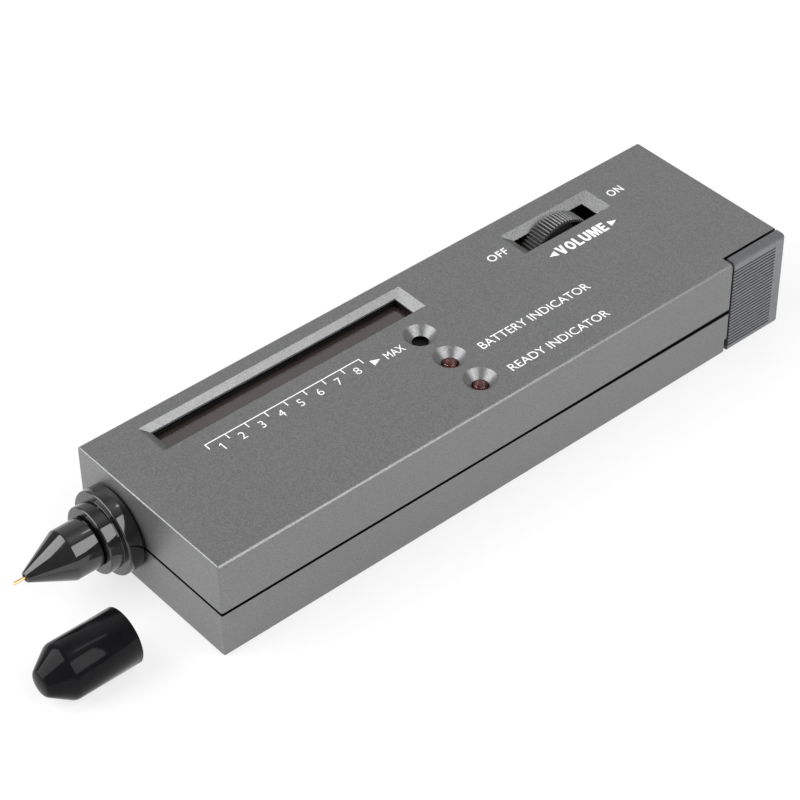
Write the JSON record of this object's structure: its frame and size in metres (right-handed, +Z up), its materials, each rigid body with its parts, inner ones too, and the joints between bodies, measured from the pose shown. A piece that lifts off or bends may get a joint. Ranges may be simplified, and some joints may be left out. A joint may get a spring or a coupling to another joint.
{
  "type": "diamond tester",
  "caption": "Hand-held probe tester in a slim two-part case with a light bar, two lamps, a thumbwheel, a sliding battery cover and a loose probe cap.",
  "frame": {"origin": "centre of the flat underside of the case", "axes": "+X along the case from the probe to the battery end, +Z up out of the panel with the display, -Y towards the side with the ribbed battery cover"},
  "size_m": [0.1724, 0.0414, 0.0227],
  "materials": {
    "case": "satin metallic grey paint with a fine sparkle",
    "cover": "satin moulded plastic",
    "window": "clear tinted acrylic",
    "light_bar": "diffused resin",
    "lamp": "clear tinted resin",
    "wheel": "satin moulded plastic",
    "nose": "polished black",
    "copper": "polished copper",
    "brass": "turned brass",
    "steel": "zinc plated",
    "circuit_board": "solder mask",
    "black_plastic": "moulded plastic",
    "white_plastic": "moulded plastic",
    "blue_plastic": "moulded plastic",
    "phenolic": "phenolic and resin",
    "capacitor": "sleeved can",
    "battery_jacket": "painted metal jacket",
    "red_wire": "insulation",
    "black_wire": "insulation",
    "grey_wire": "insulation"
  },
  "bodies": {
    "housing": {"upper_shell": "case", "lower_shell": "case", "display_window": "window", "bar_housing": "black_plastic", "light_bar_1": "light_bar", "light_bar_2": "light_bar", "light_bar_3": "light_bar", "battery_lamp": "lamp", "ready_lamp": "lamp", "buzzer": "black_plastic", "potentiometer": "phenolic", "volume_board": "circuit_board", "volume_lead_1": "grey_wire", "volume_lead_2": "grey_wire", "volume_lead_3": "grey_wire", "circuit_board": "circuit_board", "board_chip_1": "black_plastic", "board_chip_2": "black_plastic", "board_capacitor_1": "capacitor", "board_capacitor_2": "capacitor", "board_capacitor_3": "capacitor", "calibration_trimmer": "blue_plastic", "board_resistor_1": "phenolic", "board_resistor_2": "phenolic", "board_resistor_3": "phenolic", "board_resistor_4": "phenolic", "board_resistor_5": "phenolic", "board_screw_1": "steel", "board_screw_2": "steel", "board_screw_3": "steel", "case_screw_1": "steel", "case_screw_2": "steel", "case_screw_3": "steel", "case_screw_4": "steel", "battery": "battery_jacket", "battery_stud": "steel", "battery_socket": "steel", "battery_snap": "black_plastic", "snap_socket": "steel", "snap_stud": "steel", "battery_lead_red": "red_wire", "battery_lead_black": "black_wire", "nose_collar": "nose", "probe_nose": "nose", "probe_nut": "brass", "probe_plug": "white_plastic", "probe_spring": "steel", "probe_lead_1": "grey_wire", "probe_lead_2": "grey_wire", "probe_lead_3": "grey_wire"},
    "wheel": {"volume_wheel": "wheel", "wheel_screw": "steel", "wheel_shaft": "white_plastic"},
    "tip": {"probe_tip": "copper", "tip_heater": "phenolic"},
    "cover": {"battery_cover": "cover"},
    "cap": {"tip_cap": "nose"}
  },
  "joints": [
    {"name": "volume_turn", "type": "hinge", "parent": "housing", "child": "wheel", "pos_m": [0.0396, 0.01225, 0.0139], "axis": [0, 1, 0], "range_deg": [0, 270]},
    {"name": "tip_press", "type": "slide", "parent": "housing", "child": "tip", "axis": [1, 0, 0], "range_m": [0, 0.0015], "stiffness_N_per_m": 200, "springref_m": -0.0005, "deforming": ["probe_spring"]},
    {"name": "cover_slide", "type": "slide", "parent": "housing", "child": "cover", "axis": [1, 0, 0], "range_m": [0, 0.03]},
    {"name": "cap_lift", "type": "slide", "parent": "housing", "child": "cap", "axis": [0, 0, 1], "range_m": [0, 0.06]}
  ]
}
